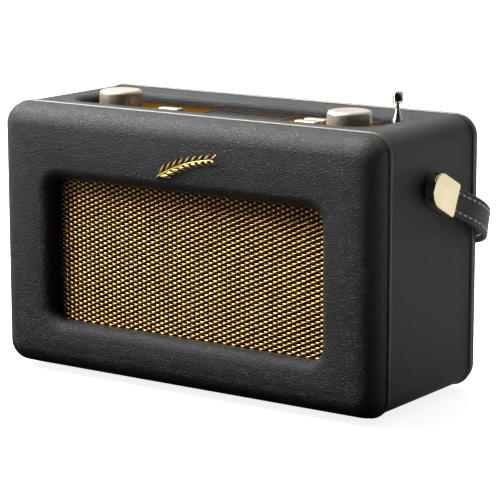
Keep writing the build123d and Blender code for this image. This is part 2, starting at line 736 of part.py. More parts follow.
def make_aerial():
    names = ["aerial_base_tube"] + [f"aerial_tube_{i}" for i in range(2, AERIAL_SECTIONS + 1)]
    for i, name in enumerate(names):
        r = AERIAL_BASE_R - i * AERIAL_STEP_R
        tube_top = AERIAL_BASE_TOP_Z + i * AERIAL_STEP_Z
        tube = rod_z(r, AERIAL_LOW_Z, tube_top, AERIAL_X, AERIAL_Y)
        bore = rod_z(r - AERIAL_WALL, AERIAL_LOW_Z - OVERCUT, tube_top + OVERCUT, AERIAL_X, AERIAL_Y)
        nodes[name] = tube - bore
    tip = rod_z(TIP_R, TIP_LOW_Z, TIP_TOP_Z, AERIAL_X, AERIAL_Y)
    ends = tip.faces().filter_by(Axis.Z)
    tip = fillet(ends.edges(), TIP_ROUND)
    nodes["aerial_rod"] = tip + rod_z(AERIAL_ROD_R, AERIAL_LOW_Z, TIP_LOW_Z + OVERCUT, AERIAL_X, AERIAL_Y)
    bush = rod_z(BUSH_COLLAR_R, PANEL_TOP_Z, PANEL_TOP_Z + BUSH_COLLAR_T, AERIAL_X, AERIAL_Y)
    bush += rod_z(BUSH_BODY_R, BUSH_LOW_Z, PANEL_TOP_Z, AERIAL_X, AERIAL_Y)
    nodes["aerial_bush"] = bush - rod_z(AERIAL_BASE_R + AERIAL_FIT, 0, BIG, AERIAL_X, AERIAL_Y)
    y_from = AERIAL_Y - HOLDER_HALF_Y
    y_to = AERIAL_Y + HOLDER_HALF_Y
    wall_x = WIDTH / 2 - WALL
    holder = block(wall_x - HOLDER_BACK_T, wall_x, y_from, y_to, HOLDER_LOW_Z, HOLDER_HIGH_Z)
    holder += block(HOLDER_X, wall_x, y_from, y_to, HOLDER_LOW_Z, HOLDER_LOW_Z + HOLDER_ARM_T)
    holder += block(HOLDER_X, wall_x, y_from, y_to, HOLDER_HIGH_Z - HOLDER_ARM_T, HOLDER_HIGH_Z)
    bore = rod_z(AERIAL_BASE_R + AERIAL_FIT, AERIAL_LOW_Z - FIT, BIG, AERIAL_X, AERIAL_Y)
    nodes["aerial_holder"] = holder - bore


def turned(points):
    """A ring turned about the loudspeaker's axis: each point is (distance behind the board, radius)."""
    board_back_y = PIPE_FRONT_Y + BAFFLE_T
    outline = make_face(Polyline([(radius, depth) for depth, radius in points], close=True))
    ring = revolve(outline, Axis.Y)
    return Pos(SPEAKER_X, board_back_y, SPEAKER_Z) * ring


def make_speaker():
    half = WIDTH / 2 - WALL - FIT
    back_y = PIPE_FRONT_Y + BAFFLE_T
    board = block(-half, half, PIPE_FRONT_Y, back_y, WALL + FIT, CAVITY_TOP_Z - FIT)
    board -= rod_y(BAFFLE_HOLE_R, -BIG, BIG, SPEAKER_X, SPEAKER_Z)
    flange = turned(
        [
            (0, BASKET_FRONT_R - BASKET_WALL),
            (0, SPEAKER_FLANGE_R),
            (SPEAKER_FLANGE_T, SPEAKER_FLANGE_R),
            (SPEAKER_FLANGE_T, BASKET_FRONT_R - BASKET_WALL),
        ]
    )
    basket = turned(
        [
            (SPEAKER_FLANGE_T, BASKET_FRONT_R - BASKET_WALL),
            (SPEAKER_FLANGE_T, BASKET_FRONT_R),
            (BASKET_DEPTH, BASKET_BACK_R),
            (BASKET_DEPTH + BASKET_WALL, BASKET_BACK_R),
            (BASKET_DEPTH + BASKET_WALL, 0),
            (BASKET_DEPTH, 0),
            (BASKET_DEPTH, BASKET_BACK_R - BASKET_WALL),
        ]
    )
    window_y = back_y + BASKET_DEPTH / 2
    window_place = Pos(SPEAKER_X, window_y, SPEAKER_Z)
    basket -= window_place * Box(BIG, BASKET_WINDOW_DEEP, BASKET_WINDOW)
    basket -= window_place * Box(BASKET_WINDOW, BASKET_WINDOW_DEEP, BIG)
    frame = flange + basket
    for i in range(SPEAKER_SCREWS):
        angle = math.tau * (i + 0.5) / SPEAKER_SCREWS
        x = SPEAKER_X + SPEAKER_SCREW_R * math.cos(angle)
        z = SPEAKER_Z + SPEAKER_SCREW_R * math.sin(angle)
        hole_end = back_y + SPEAKER_FLANGE_T + OVERCUT
        hole = rod_y(SCREW_R + THREAD_FIT, back_y - SPEAKER_SCREW_BORE, hole_end, x, z)
        board -= hole
        frame -= hole
        head = Pos(x, back_y + SPEAKER_FLANGE_T + SCREW_HEAD_T, z) * Rot(-90, 0, 0)
        inner_screws.append(head * screw(INNER_SCREW_LONG))
    nodes["speaker_board"] = board
    nodes["speaker_frame"] = frame
    cone = turned(
        [
            (0, CONE_R),
            (CONE_DEPTH, CONE_NECK_R),
            (CONE_DEPTH + CONE_T, CONE_NECK_R),
            (CONE_T, CONE_R),
        ]
    )
    surround = turned(
        [
            (0, CONE_R + GLUE_GAP),
            (-SURROUND_RISE, CONE_R + GLUE_GAP + SURROUND_SLOPE),
            (-SURROUND_RISE, SURROUND_R - SURROUND_SLOPE),
            (0, SURROUND_R),
            (CONE_T, SURROUND_R),
            (CONE_T, CONE_R + GLUE_GAP),
        ]
    )
    cap_y = back_y + CONE_DEPTH - DUST_CAP_BEHIND
    ball_r = (DUST_CAP_R ** 2 + DUST_CAP_RISE ** 2) / (2 * DUST_CAP_RISE)
    ball = Pos(SPEAKER_X, cap_y - DUST_CAP_RISE + ball_r, SPEAKER_Z) * Sphere(ball_r)
    cap = ball & rod_y(DUST_CAP_R, cap_y - BIG, cap_y, SPEAKER_X, SPEAKER_Z)
    magnet_y = back_y + BASKET_DEPTH + BASKET_WALL
    nodes["speaker_cone"] = group((cone, surround, cap))
    magnet = rod_y(MAGNET_R, magnet_y, magnet_y + MAGNET_T, SPEAKER_X, SPEAKER_Z)
    backplate = rod_y(
        BACKPLATE_R, magnet_y + MAGNET_T, magnet_y + MAGNET_T + BACKPLATE_T, SPEAKER_X, SPEAKER_Z
    )
    nodes["speaker_magnet"] = group((magnet, backplate))


def make_badge():
    """A plain brass sprig: a gently bowed stem with leaves in pairs."""
    outline = Sketch()
    bow_centre_y = -STEM_SAG_R
    half_angle = math.degrees(math.asin(STEM_LENGTH / 2 / STEM_SAG_R))
    stem = CenterArc((0, bow_centre_y), STEM_SAG_R, 90 - half_angle, 2 * half_angle)
    outline += trace(stem, STEM_W)
    for i in range(LEAF_COUNT):
        share = (i + LEAF_START) / LEAF_COUNT
        angle = 90 + half_angle - 2 * half_angle * share
        x = STEM_SAG_R * math.cos(math.radians(angle))
        y = bow_centre_y + STEM_SAG_R * math.sin(math.radians(angle))
        scale_by = 1.0 - LEAF_SHRINK * share
        for side in (-1, 1):
            turn = angle - 90 + side * LEAF_ANGLE
            reach = LEAF_OFFSET * scale_by
            leaf = Ellipse(LEAF_LONG * scale_by, LEAF_SHORT * scale_by)
            place = Pos(
                x + reach * math.cos(math.radians(turn)), y + reach * math.sin(math.radians(turn))
            )
            outline += place * Rot(0, 0, turn) * leaf
    tilted = Rot(0, 0, BADGE_TILT) * outline
    nodes["badge"] = upright(tilted, BADGE_X, BADGE_Z, FRONT_Y - BADGE_T, FRONT_Y)


def clip_profile(radius, reach):
    """A D-shaped outline in the handle's own plane, round about the pivot."""
    return Circle(radius) + Pos(reach / 2, 0) * Rectangle(reach, 2 * radius)


def swing(shape):
    """Turns a shape drawn about the pivot, strap towards +Y, down to the angle where it rests."""
    return Pos(0, PIVOT_Y, PIVOT_Z) * Rot(-STRAP_DROOP, 0, 0) * shape


def make_handle():
    side_plane = Plane((0, 0, 0), x_dir=(0, 1, 0), z_dir=(1, 0, 0))
    strap_in = STRAP_X - STRAP_T / 2
    strap_out = STRAP_X + STRAP_T / 2
    in_clip = Line((STRAP_X, -STRAP_W / 2 + OVERCUT), (STRAP_X, STRAP_FLAT))
    bow = JernArc(in_clip @ 1, in_clip % 1, STRAP_SPLAY_R, -STRAP_SPLAY)
    leg = Line(bow @ 1, (bow @ 1) + (bow % 1) * STRAP_LEG)
    bend = JernArc(leg @ 1, leg % 1, STRAP_BEND_R, 90 + STRAP_SPLAY)
    crossbar = Line(bend @ 1, (0, STRAP_REACH))
    half = in_clip + bow + leg + bend + crossbar
    path = half + mirror(half, Plane.YZ)
    strap = extrude(trace(path, STRAP_T), amount=STRAP_W / 2, both=True)
    end_cut = Box(BIG, STRAP_W, STRAP_W) - rod_x(STRAP_W / 2, -BIG, BIG, 0, 0)
    strap -= Pos(0, -STRAP_W / 2, 0) * Box(BIG, STRAP_W, 2 * STRAP_W) & end_cut
    bore = rod_x(PIVOT_R + THREAD_FIT, -BIG, BIG, 0, 0)
    nodes["handle_strap"] = swing(strap - bore)
    clips = []
    bosses = []
    pins = []
    for side in (-1, 1):
        outer = extrude(
            side_plane.offset(CLIP_IN_X) * clip_profile(CLIP_R, CLIP_REACH), amount=CLIP_OUT_X - CLIP_IN_X
        )
        pocket = extrude(
            side_plane.offset(strap_in - THREAD_FIT)
            * clip_profile(STRAP_W / 2 + THREAD_FIT, CLIP_REACH + OVERCUT),
            amount=STRAP_T + 2 * THREAD_FIT,
        )
        clip = outer - pocket - rod_x(PIVOT_R + THREAD_FIT, 0, strap_out, 0, 0)
        boss = rod_x(BOSS_R, WIDTH / 2, WIDTH / 2 + BOSS_T, PIVOT_Y, PIVOT_Z)
        rim = boss.faces().sort_by(Axis.X)[-1]
        boss = fillet(rim.edges(), BOSS_EDGE)
        boss -= rod_x(PIVOT_R + THREAD_FIT, 0, BIG, PIVOT_Y, PIVOT_Z)
        pin = rod_x(PIVOT_R, WIDTH / 2 - WALL, strap_out - PIVOT_END_SINK, PIVOT_Y, PIVOT_Z)
        head_x = WIDTH / 2 - WALL - PIVOT_HEAD_T
        pin += rod_x(PIVOT_HEAD_R, head_x, WIDTH / 2 - WALL, PIVOT_Y, PIVOT_Z)
        clip = swing(clip)
        if side < 0:
            clip = mirror(clip, Plane.YZ)
            boss = mirror(boss, Plane.YZ)
            pin = mirror(pin, Plane.YZ)
        clips.append(clip)
        bosses.append(boss)
        pins.append(pin)
    nodes["handle_clips"] = group(clips)
    nodes["handle_bosses"] = group(bosses)
    nodes["handle_pivots"] = group(pins)


def make_feet():
    feet = []
    for x in (-FOOT_X, FOOT_X):
        for y in FOOT_Y:
            foot = rod_z(FOOT_R, -FOOT_H, 0, x, y)
            foot = fillet(foot.faces().sort_by(Axis.Z)[0].edges(), FOOT_ROUND)
            foot -= rod_z(SCREW_HEAD_R + THREAD_FIT, -BIG, -FOOT_SCREW_SINK, x, y)
            foot -= rod_z(SCREW_R + THREAD_FIT, -BIG, OVERCUT, x, y)
            feet.append(foot)
            spot = Pos(x, y, -FOOT_SCREW_SINK - SCREW_HEAD_T)
            case_screws.append(spot * Rot(180, 0, 0) * screw(INNER_SCREW_LONG))
    nodes["rubber_feet"] = group(feet)


make_cabinet()
make_front()
make_badge()
make_rear()
make_battery_door()
make_battery_bay()
make_sockets()
make_main_board()
make_control_panel()
make_buttons()
make_knobs()
make_display()
make_control_board()
make_aerial()
make_speaker()
make_handle()
make_feet()

nodes["case_screws"] = group(case_screws)
nodes["inner_screws"] = group(inner_screws)
nodes["standoffs"] = group(standoffs)

os.makedirs("parts", exist_ok=True)
place = Pos(0, SHIFT_Y, FOOT_H)
for node_name, shape in nodes.items():
    export_step(place * shape, f"parts/{node_name}.step")
print(len(nodes), "nodes, moved by", SHIFT_Y, FOOT_H)
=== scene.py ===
import math

import bmesh
import bpy
from mathutils import Matrix, Vector


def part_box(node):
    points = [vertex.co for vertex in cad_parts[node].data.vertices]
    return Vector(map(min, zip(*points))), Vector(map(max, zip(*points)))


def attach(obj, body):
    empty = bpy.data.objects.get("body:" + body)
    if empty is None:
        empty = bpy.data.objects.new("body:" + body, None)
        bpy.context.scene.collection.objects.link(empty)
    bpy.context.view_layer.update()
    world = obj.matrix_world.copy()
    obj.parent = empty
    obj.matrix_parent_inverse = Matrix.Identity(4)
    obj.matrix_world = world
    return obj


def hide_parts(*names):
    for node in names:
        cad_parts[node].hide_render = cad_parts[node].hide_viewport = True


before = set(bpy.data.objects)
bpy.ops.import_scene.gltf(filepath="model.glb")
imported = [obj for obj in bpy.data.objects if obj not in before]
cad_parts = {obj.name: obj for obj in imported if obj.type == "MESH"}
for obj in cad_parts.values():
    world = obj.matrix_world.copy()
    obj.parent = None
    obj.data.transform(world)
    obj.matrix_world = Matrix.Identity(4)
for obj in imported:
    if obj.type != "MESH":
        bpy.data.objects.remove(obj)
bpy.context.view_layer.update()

MM = 0.001

# The cabinet's own axes: x and y from its middle, z from its underside, in millimetres.
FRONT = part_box("front_cover")
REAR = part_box("rear_panel")
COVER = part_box("cabinet_cover")
CENTRE_Y = (FRONT[0].y + REAR[1].y) / 2
BASE_Z = COVER[0].z
WIDTH = (COVER[1].x - COVER[0].x) / MM
HEIGHT = (COVER[1].z - COVER[0].z) / MM
CORNER_R = 12.0
FRONT_Y = (FRONT[0].y - CENTRE_Y) / MM
SEAM_Y = (FRONT[1].y - CENTRE_Y) / MM

# Front frame
ROUND_IN = 12.0
ROUND_DEEP = 12.6
ROUND_CORNER_SHARE = 0.86
ROUND_STEPS = 16
SEAM_TURN_IN = ((1.1, 0.0), (0.35, -0.15), (0.0, -0.7))
FACE_CROWN = 0.35
FACE_STEPS = 8
GRILLE_HALF_X = 90.5
GRILLE_LOW_Z = 28.0
GRILLE_HIGH_Z = 109.5
GRILLE_R = 8.0
LIP = 7.5
LIP_STEPS = 12
GRILLE_Y = -44.0
REBATE_DEEP = 0.9
REBATE_END = 0.05
REBATE_OUT = 0.1
SKIN_T = 1.0

# Expanded metal
MESH_PITCH_X = 3.0
MESH_PITCH_Z = 2.8
MESH_MARGIN = 2.2
HOLE_HALF_X = 2.12
HOLE_HALF_Z = 0.78
STRAND_TILT = 0.34
KNUCKLE_RISE = 0.34
KNUCKLE_SHARP = 12
STRAND_T = 0.45
STRAND_CROWN = 0.05
CELL_SIDES = 12
HOLE_PINCH = 0.25
KNUCKLE_FLAT = 0.3
MID_RISE = 0.7
MID_TILT = 0.55
WELD = 2e-6

# Leaf sprig
SPRIG_TILT = math.radians(-18.7)
STEM_LONG = 40.0
STEM_BOW_R = 90.0
STEM_LIFT = 1.2
STEM_SIDES = 10
STEM_STEPS = 32
STEM_R = 0.72
STEM_TAPER = 0.45
STEM_END = 0.35
STEM_PROUD = 0.55
STEM_FLAT = 0.9
LEAVES = 9
LEAF_START = 0.6
LEAF_SHRINK = 0.35
LEAF_LEAN = math.radians(38)
LEAF_STEPS = 14
LEAF_HALF_W = 1.55
LEAF_TIP_W = 0.04
LEAF_LONG = 8.2
LEAF_GAP = 0.3
LEAF_BEND = 0.9
LEAF_SECTION = (
    (-1, 0.0),
    (-0.55, 0.35),
    (-0.12, 0.62),
    (0, 0.30),
    (0.12, 0.62),
    (0.55, 0.35),
    (1, 0.0),
    (0, -0.25),
)

# Handle
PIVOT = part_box("handle_pivots")
PIVOT_Y = ((PIVOT[0].y + PIVOT[1].y) / 2 - CENTRE_Y) / MM
PIVOT_Z = ((PIVOT[0].z + PIVOT[1].z) / 2 - BASE_Z) / MM
DROOP = math.radians(26.4)
STRAP_X = 130.0
STRAP_T = 3.0
STRAP_W = 15.6
STRAP_FLAT = 15.6
STRAP_SPLAY = math.radians(16)
STRAP_SPLAY_R = 20.0
STRAP_LEG = 9.0
STRAP_BEND_R = 36.0
STRAP_START = 6.5
STRAP_STEP = 1.2
TWIST = math.radians(9)
LEAN = math.radians(6)
EASE_END = math.radians(60)
SECTION_POINTS = 25
EDGE_SOFT = 1.3
EDGE_DROP = 0.75
GROOVE_DEEP = 0.28
GROOVE_W = 0.75
STITCH_LINE = 4.9
STITCH_PITCH = 4.3
STITCH_LONG = 3.5
STITCH_R = 0.46
STITCH_FIRST = 25.0
STITCH_SINK = 0.16
STITCH_DIP = 0.22
STITCH_SLANT = 0.06
STITCH_STEPS = 7
STITCH_SIDES = 8
STITCH_WELD = 1e-8
CLIP_R = 9.4
CLIP_REACH = 17.4
CLIP_IN_X = 126.6
CLIP_OUT_X = 132.4
CLIP_BEVEL = 0.6
CLIP_CORNER = 1.6
BEVEL_STEPS = 4
BOSS_PROFILE = ((0.4, -0.2), (6.5, -0.2), (6.5, 0.7), (6.35, 1.05), (6.0, 1.25), (0.4, 1.3))

# Aerial

AERIAL_TUBES = (
    ("aerial_base_tube", "aerial_base"),
    ("aerial_tube_2", "aerial_2"),
    ("aerial_tube_3", "aerial_3"),
    ("aerial_tube_4", "aerial_4"),
    ("aerial_tube_5", "aerial_5"),
)
TUBE_WALL = 0.3
ROLL = 0.22
ROD_R = 0.95
CAP_T = 6.2

# Knobs
KNOB_R = 12.5
KNOB_EDGE = 2.3
KNOB_TAPER = 0.25
KNOB_STEPS = 12
KNOB_SKIRT = ((5.2, 0.8), (10.2, 0.8), (10.5, 0.0), (12.0, 0.0), (12.35, 0.12), (KNOB_R, 0.5))
KNOB_DISH = ((7.0, 0.03), (4.0, 0.10), (0.3, 0.12))


def at(x, y, z):
    """A place in the cabinet's own axes, as a point of the frame in metres."""
    return Vector((x * MM, CENTRE_Y + y * MM, BASE_Z + z * MM))


def new_object(name, verts, faces, material, smooth=True):
    mesh = bpy.data.meshes.new(name)
    mesh.from_pydata([tuple(v) for v in verts], [], faces)
    mesh.update()
    obj = bpy.data.objects.new(name, mesh)
    bpy.context.scene.collection.objects.link(obj)
    obj.data.materials.append(material)
    if smooth:
        for polygon in mesh.polygons:
            polygon.use_smooth = True
    return obj


def clean(obj, merge=1e-6):
    """Joins touching vertices and turns every face outwards."""
    work = bmesh.new()
    work.from_mesh(obj.data)
    bmesh.ops.remove_doubles(work, verts=work.verts, dist=merge)
    bmesh.ops.recalc_face_normals(work, faces=work.faces)
    work.to_mesh(obj.data)
    work.free()
    return obj


def apply_modifiers(obj):
    depsgraph = bpy.context.evaluated_depsgraph_get()
    mesh = bpy.data.meshes.new_from_object(obj.evaluated_get(depsgraph))
    obj.modifiers.clear()
    obj.data = mesh
    return obj


def add_modifier(obj, kind, **settings):
    modifier = obj.modifiers.new(kind.lower(), kind)
    for key, value in settings.items():
        setattr(modifier, key, value)
    return modifier


def loops_mesh(name, loops, material, closed_ends=False, wrap=False):
    """A skin through closed loops that all have the same number of points."""
    count = len(loops[0])
    verts = [point for loop in loops for point in loop]
    faces = []
    rows = len(loops) if wrap else len(loops) - 1
    for i in range(rows):
        low = i * count
        high = (i + 1) % len(loops) * count
        for j in range(count):
            k = (j + 1) % count
            faces.append((low + j, low + k, high + k, high + j))
    if closed_ends:
        faces.append(tuple(reversed(range(count))))
        faces.append(tuple(range(len(verts) - count, len(verts))))
    return new_object(name, verts, faces, material)


def lathe(name, profile, centre, material, axis="z", segments=96):
    """A solid turned about an axis through centre; profile holds (radius, height) in millimetres."""
    loops = []
    for radius, height in profile:
        loop = []
        for i in range(segments):
            turn = math.tau * i / segments
            a = radius * math.cos(turn)
            b = radius * math.sin(turn)
            offset = {"z": (a, b, height), "x": (height, a, b), "y": (a, height, b)}[axis]
            loop.append(centre + Vector(offset) * MM)
        loops.append(loop)
    return clean(loops_mesh(name, loops, material, closed_ends=True))


def lathe_ring(name, profile, centre, material, segments=48):
    """A hollow ring turned about a vertical axis, from a closed profile."""
    loops = []
    turns = [math.tau * i / segments for i in range(segments)]
    for radius, height in profile:
        points = [Vector((radius * math.cos(turn), radius * math.sin(turn), height)) for turn in turns]
        loops.append([centre + point * MM for point in points])
    return clean(loops_mesh(name, loops, material, wrap=True))


def rounded_loop(half_x, half_z, radius, arc_steps=12, long_steps=40, short_steps=22):
    """Points round a rounded rectangle, evenly matched between loops of any size."""
    corners = ((1, 1, 0), (-1, 1, 90), (-1, -1, 180), (1, -1, 270))
    points = []
    for index, (side_x, side_z, start) in enumerate(corners):
        cx = side_x * (half_x - radius)
        cz = side_z * (half_z - radius)
        arc = []
        for i in range(arc_steps + 1):
            turn = math.radians(start + 90 * i / arc_steps)
            arc.append((cx + radius * math.cos(turn), cz + radius * math.sin(turn)))
        points += arc
        next_x, next_z, _ = corners[(index + 1) % 4]
        ncx = next_x * (half_x - radius)
        ncz = next_z * (half_z - radius)
        turn = math.radians(start + 90)
        last = (ncx + radius * math.cos(turn), ncz + radius * math.sin(turn))
        steps = long_steps if index % 2 == 0 else short_steps
        first_x, first_z = arc[-1]
        for i in range(1, steps):
            share = i / steps
            points.append((first_x + (last[0] - first_x) * share, first_z + (last[1] - first_z) * share))
    return points


# ---------------------------------------------------------------- materials

GRAIN_WARP = 0.0016
PEBBLE = [(0.0, (0.0, 0.0, 0.0)), (0.16, (0.72, 0.72, 0.72)), (0.42, (1.0, 1.0, 1.0))]
PORE_SHARE = 0.35
# Painted shade: the share of the dark tone that is left in the leather's creases.
PAINTED_CREASE_SHADE = 0.55
LEATHER_SPECULAR = 0.6
SATIN_METAL = 0.75


def shader(name):
    material = bpy.data.materials.new(name)
    material.use_nodes = True
    nodes = material.node_tree.nodes
    nodes.clear()
    out = nodes.new("ShaderNodeOutputMaterial")
    bsdf = nodes.new("ShaderNodeBsdfPrincipled")
    material.node_tree.links.new(bsdf.outputs[0], out.inputs[0])
    return material, bsdf


def add(material, kind, inputs=None, **settings):
    """A node with its settings and its input values; a value that is a socket is linked."""
    node = material.node_tree.nodes.new(kind)
    for key, value in settings.items():
        setattr(node, key, value)
    for key, value in (inputs or {}).items():
        if isinstance(value, bpy.types.NodeSocket):
            material.node_tree.links.new(value, node.inputs[key])
        else:
            node.inputs[key].default_value = value
    return node


def link(material, source, target):
    material.node_tree.links.new(source, target)


def place_coords(material, scale=(1, 1, 1)):
    coords = add(material, "ShaderNodeTexCoord")
    mapping = add(material, "ShaderNodeMapping", {"Vector": coords.outputs["Object"], "Scale": scale})
    return mapping.outputs[0]


def ramp(material, factor, stops):
    node = add(material, "ShaderNodeValToRGB", {"Fac": factor})
    elements = node.color_ramp.elements
    while len(elements) < len(stops):
        elements.new(0.5)
    for element, (position, colour) in zip(elements, stops):
        element.position = position
        element.color = (*colour, 1) if len(colour) == 3 else colour
    return node.outputs[0]


def grey(value):
    return (value, value, value)


def noise(material, coords, scale, detail, **inputs):
    """The value of a noise texture."""
    values = {"Vector": coords, "Scale": scale, "Detail": detail, **inputs}
    return add(material, "ShaderNodeTexNoise", values).outputs["Fac"]


def uneven_gloss(material, bsdf, value, roughness):
    """Roughness that wanders between two values with a noise."""
    low, high = roughness
    spread = {"Value": value, "From Min": 0.3, "From Max": 0.7, "To Min": low, "To Max": high}
    rough = add(material, "ShaderNodeMapRange", spread)
    link(material, rough.outputs[0], bsdf.inputs["Roughness"])


def bumps(material, bsdf, *layers):
    """Bumps on the surface; each layer is (height, strength, distance in metres)."""
    normal = None
    for height, strength, distance in layers:
        values = {"Height": height, "Strength": strength, "Distance": distance}
        if normal is not None:
            values["Normal"] = normal
        normal = add(material, "ShaderNodeBump", values).outputs[0]
    link(material, normal, bsdf.inputs["Normal"])


def leather_material(name, dark, light, roughness, grain, cell=950.0):
    """Leathercloth with a pebble grain: rounded cells, fine creases between them and pores, with painted
    shade darkening the creases in the base colour.
    """
    material, bsdf = shader(name)
    coords = place_coords(material)
    warp = add(material, "ShaderNodeTexNoise", {"Vector": coords, "Scale": 320.0, "Detail": 3.0})
    bent = add(
        material,
        "ShaderNodeVectorMath",
        {0: warp.outputs["Color"], 1: grey(GRAIN_WARP)},
        operation="MULTIPLY",
    )
    moved = add(material, "ShaderNodeVectorMath", {0: coords, 1: bent.outputs[0]}, operation="ADD")
    cells = add(
        material,
        "ShaderNodeTexVoronoi",
        {"Vector": moved.outputs[0], "Scale": cell, "Randomness": 1.0},
        feature="DISTANCE_TO_EDGE",
    )
    pebble = ramp(material, cells.outputs["Distance"], PEBBLE)
    fine = noise(material, coords, 2600.0, 4.0, Roughness=0.6)
    wide = noise(material, coords, 45.0, 3.0)
    tone = ramp(material, wide, [(0.3, dark), (0.7, light)])
    # Painted shade: towards each pebble's edge the base colour darkens to a shaded copy of the dark
    # tone.
    crease_shade_colour = tuple(part * PAINTED_CREASE_SHADE for part in dark)
    painted_crease_shading = add(
        material,
        "ShaderNodeMix",
        {"Factor": pebble, 6: (*crease_shade_colour, 1), 7: tone},
        data_type="RGBA",
    )
    link(material, painted_crease_shading.outputs[2], bsdf.inputs["Base Color"])
    uneven_gloss(material, bsdf, fine, roughness)
    bumps(material, bsdf, (pebble, 1.0, grain), (fine, 0.6, grain * PORE_SHARE))
    bsdf.inputs["Specular IOR Level"].default_value = LEATHER_SPECULAR
    return material


def metal_material(name, colour, dull, roughness, streak=(1, 1, 1), edge=(1, 1, 1)):
    """Lacquered or plated metal, with faint smudges and, if asked, a brushed grain along X."""
    material, bsdf = shader(name)
    bsdf.inputs["Metallic"].default_value = 1.0
    bsdf.inputs["Specular Tint"].default_value = (*edge, 1)
    wide = noise(material, place_coords(material), 90.0, 4.0)
    fine = noise(material, place_coords(material, streak), 1500.0, 3.0)
    link(material, ramp(material, wide, [(0.35, dull), (0.65, colour)]), bsdf.inputs["Base Color"])
    uneven_gloss(material, bsdf, fine, roughness)
    bumps(material, bsdf, (fine, 0.5, 0.000008))
    return material


def plastic_material(name, colour, other, roughness, bump=0.00002, scale=900.0, specular=0.5):
    """Moulded plastic or paint with a faint orange-peel and uneven gloss."""
    material, bsdf = shader(name)
    coords = place_coords(material)
    wide = noise(material, coords, 60.0, 3.0)
    fine = noise(material, coords, scale, 3.0)
    link(material, ramp(material, wide, [(0.3, other), (0.7, colour)]), bsdf.inputs["Base Color"])
    uneven_gloss(material, bsdf, fine, roughness)
    bumps(material, bsdf, (fine, 0.4, bump))
    bsdf.inputs["Specular IOR Level"].default_value = specular
    return material


def satin_material(name, colour, other, roughness):
    """Cream metal paint, smooth and half glossy."""
    material = plastic_material(name, colour, other, roughness, bump=0.000003)
    material.node_tree.nodes["Principled BSDF"].inputs["Metallic"].default_value = SATIN_METAL
    return material


def wood_material(name, dark, light):
    """Plywood with its grain along X."""
    material, bsdf = shader(name)
    rings = noise(material, place_coords(material, (0.6, 6, 6)), 40.0, 6.0)
    link(material, ramp(material, rings, [(0.35, dark), (0.65, light)]), bsdf.inputs["Base Color"])
    bsdf.inputs["Roughness"].default_value = 0.7
    bumps(material, bsdf, (rings, 0.3, 0.0001))
    return material


LEATHERS = {
    "leather": ("leathercloth", (0.005, 0.0065, 0.0095), (0.009, 0.0105, 0.015), (0.44, 0.58), 0.00030),
    "strap": (
        "strap_leather",
        (0.026, 0.027, 0.029),
        (0.040, 0.042, 0.045),
        (0.42, 0.56),
        0.00010,
        1400.0,
    ),
    "piping": ("gold_piping", (0.10, 0.085, 0.045), (0.17, 0.14, 0.08), (0.22, 0.34), 0.00004, 1600.0),
}

METALS = {
    "gold": ("gold_mesh", (0.60, 0.345, 0.115), (0.48, 0.26, 0.08), (0.18, 0.28)),
    "badge": ("gold_badge", (0.86, 0.60, 0.22), (0.74, 0.48, 0.14), (0.10, 0.18)),
    "brass": ("pale_brass", (0.93, 0.81, 0.56), (0.86, 0.73, 0.46), (0.12, 0.22)),
    "panel": (
        "bronze_panel",
        (0.17, 0.095, 0.022),
        (0.13, 0.070, 0.016),
        (0.26, 0.40),
        (0.03, 1, 1),
        (0.9, 0.55, 0.2),
    ),
    "chrome": ("chrome", (0.82, 0.82, 0.83), (0.74, 0.74, 0.75), (0.05, 0.12)),
    "steel": ("zinc_steel", (0.62, 0.62, 0.62), (0.5, 0.5, 0.5), (0.25, 0.4)),
}

PLASTICS = {
    "baffle": ("stained_board", (0.016, 0.009, 0.005), (0.010, 0.006, 0.003), (0.6, 0.8)),
    "black": ("black_plastic", (0.02, 0.02, 0.021), (0.014, 0.014, 0.015), (0.35, 0.5)),
    "window": (
        "display_glass",
        (0.020, 0.013, 0.006),
        (0.012, 0.008, 0.004),
        (0.10, 0.16),
        0.000002,
        900.0,
        0.25,
    ),
    "thread": (
        "white_thread",
        (0.78, 0.76, 0.71),
        (0.66, 0.63, 0.57),
        (0.6, 0.8),
        0.00008,
        3000.0,
    ),
    "rubber": ("rubber", (0.02, 0.02, 0.02), (0.012, 0.012, 0.012), (0.6, 0.75)),
    "board": ("circuit_board", (0.01, 0.14, 0.05), (0.008, 0.09, 0.035), (0.3, 0.4)),
    "paper": ("paper_cone", (0.03, 0.028, 0.025), (0.02, 0.018, 0.016), (0.7, 0.85), 0.00006),
    "cell": ("dry_cell", (0.10, 0.11, 0.14), (0.07, 0.08, 0.10), (0.25, 0.4)),
}

MATERIALS = {}
for key, values in LEATHERS.items():
    MATERIALS[key] = leather_material(*values)
for key, values in METALS.items():
    MATERIALS[key] = metal_material(*values)
for key, values in PLASTICS.items():
    MATERIALS[key] = plastic_material(*values)
MATERIALS["champagne"] = satin_material(
    "champagne", (0.58, 0.53, 0.43), (0.54, 0.49, 0.39), (0.40, 0.48)
)
MATERIALS["wood"] = wood_material("plywood", (0.24, 0.14, 0.07), (0.42, 0.28, 0.16))

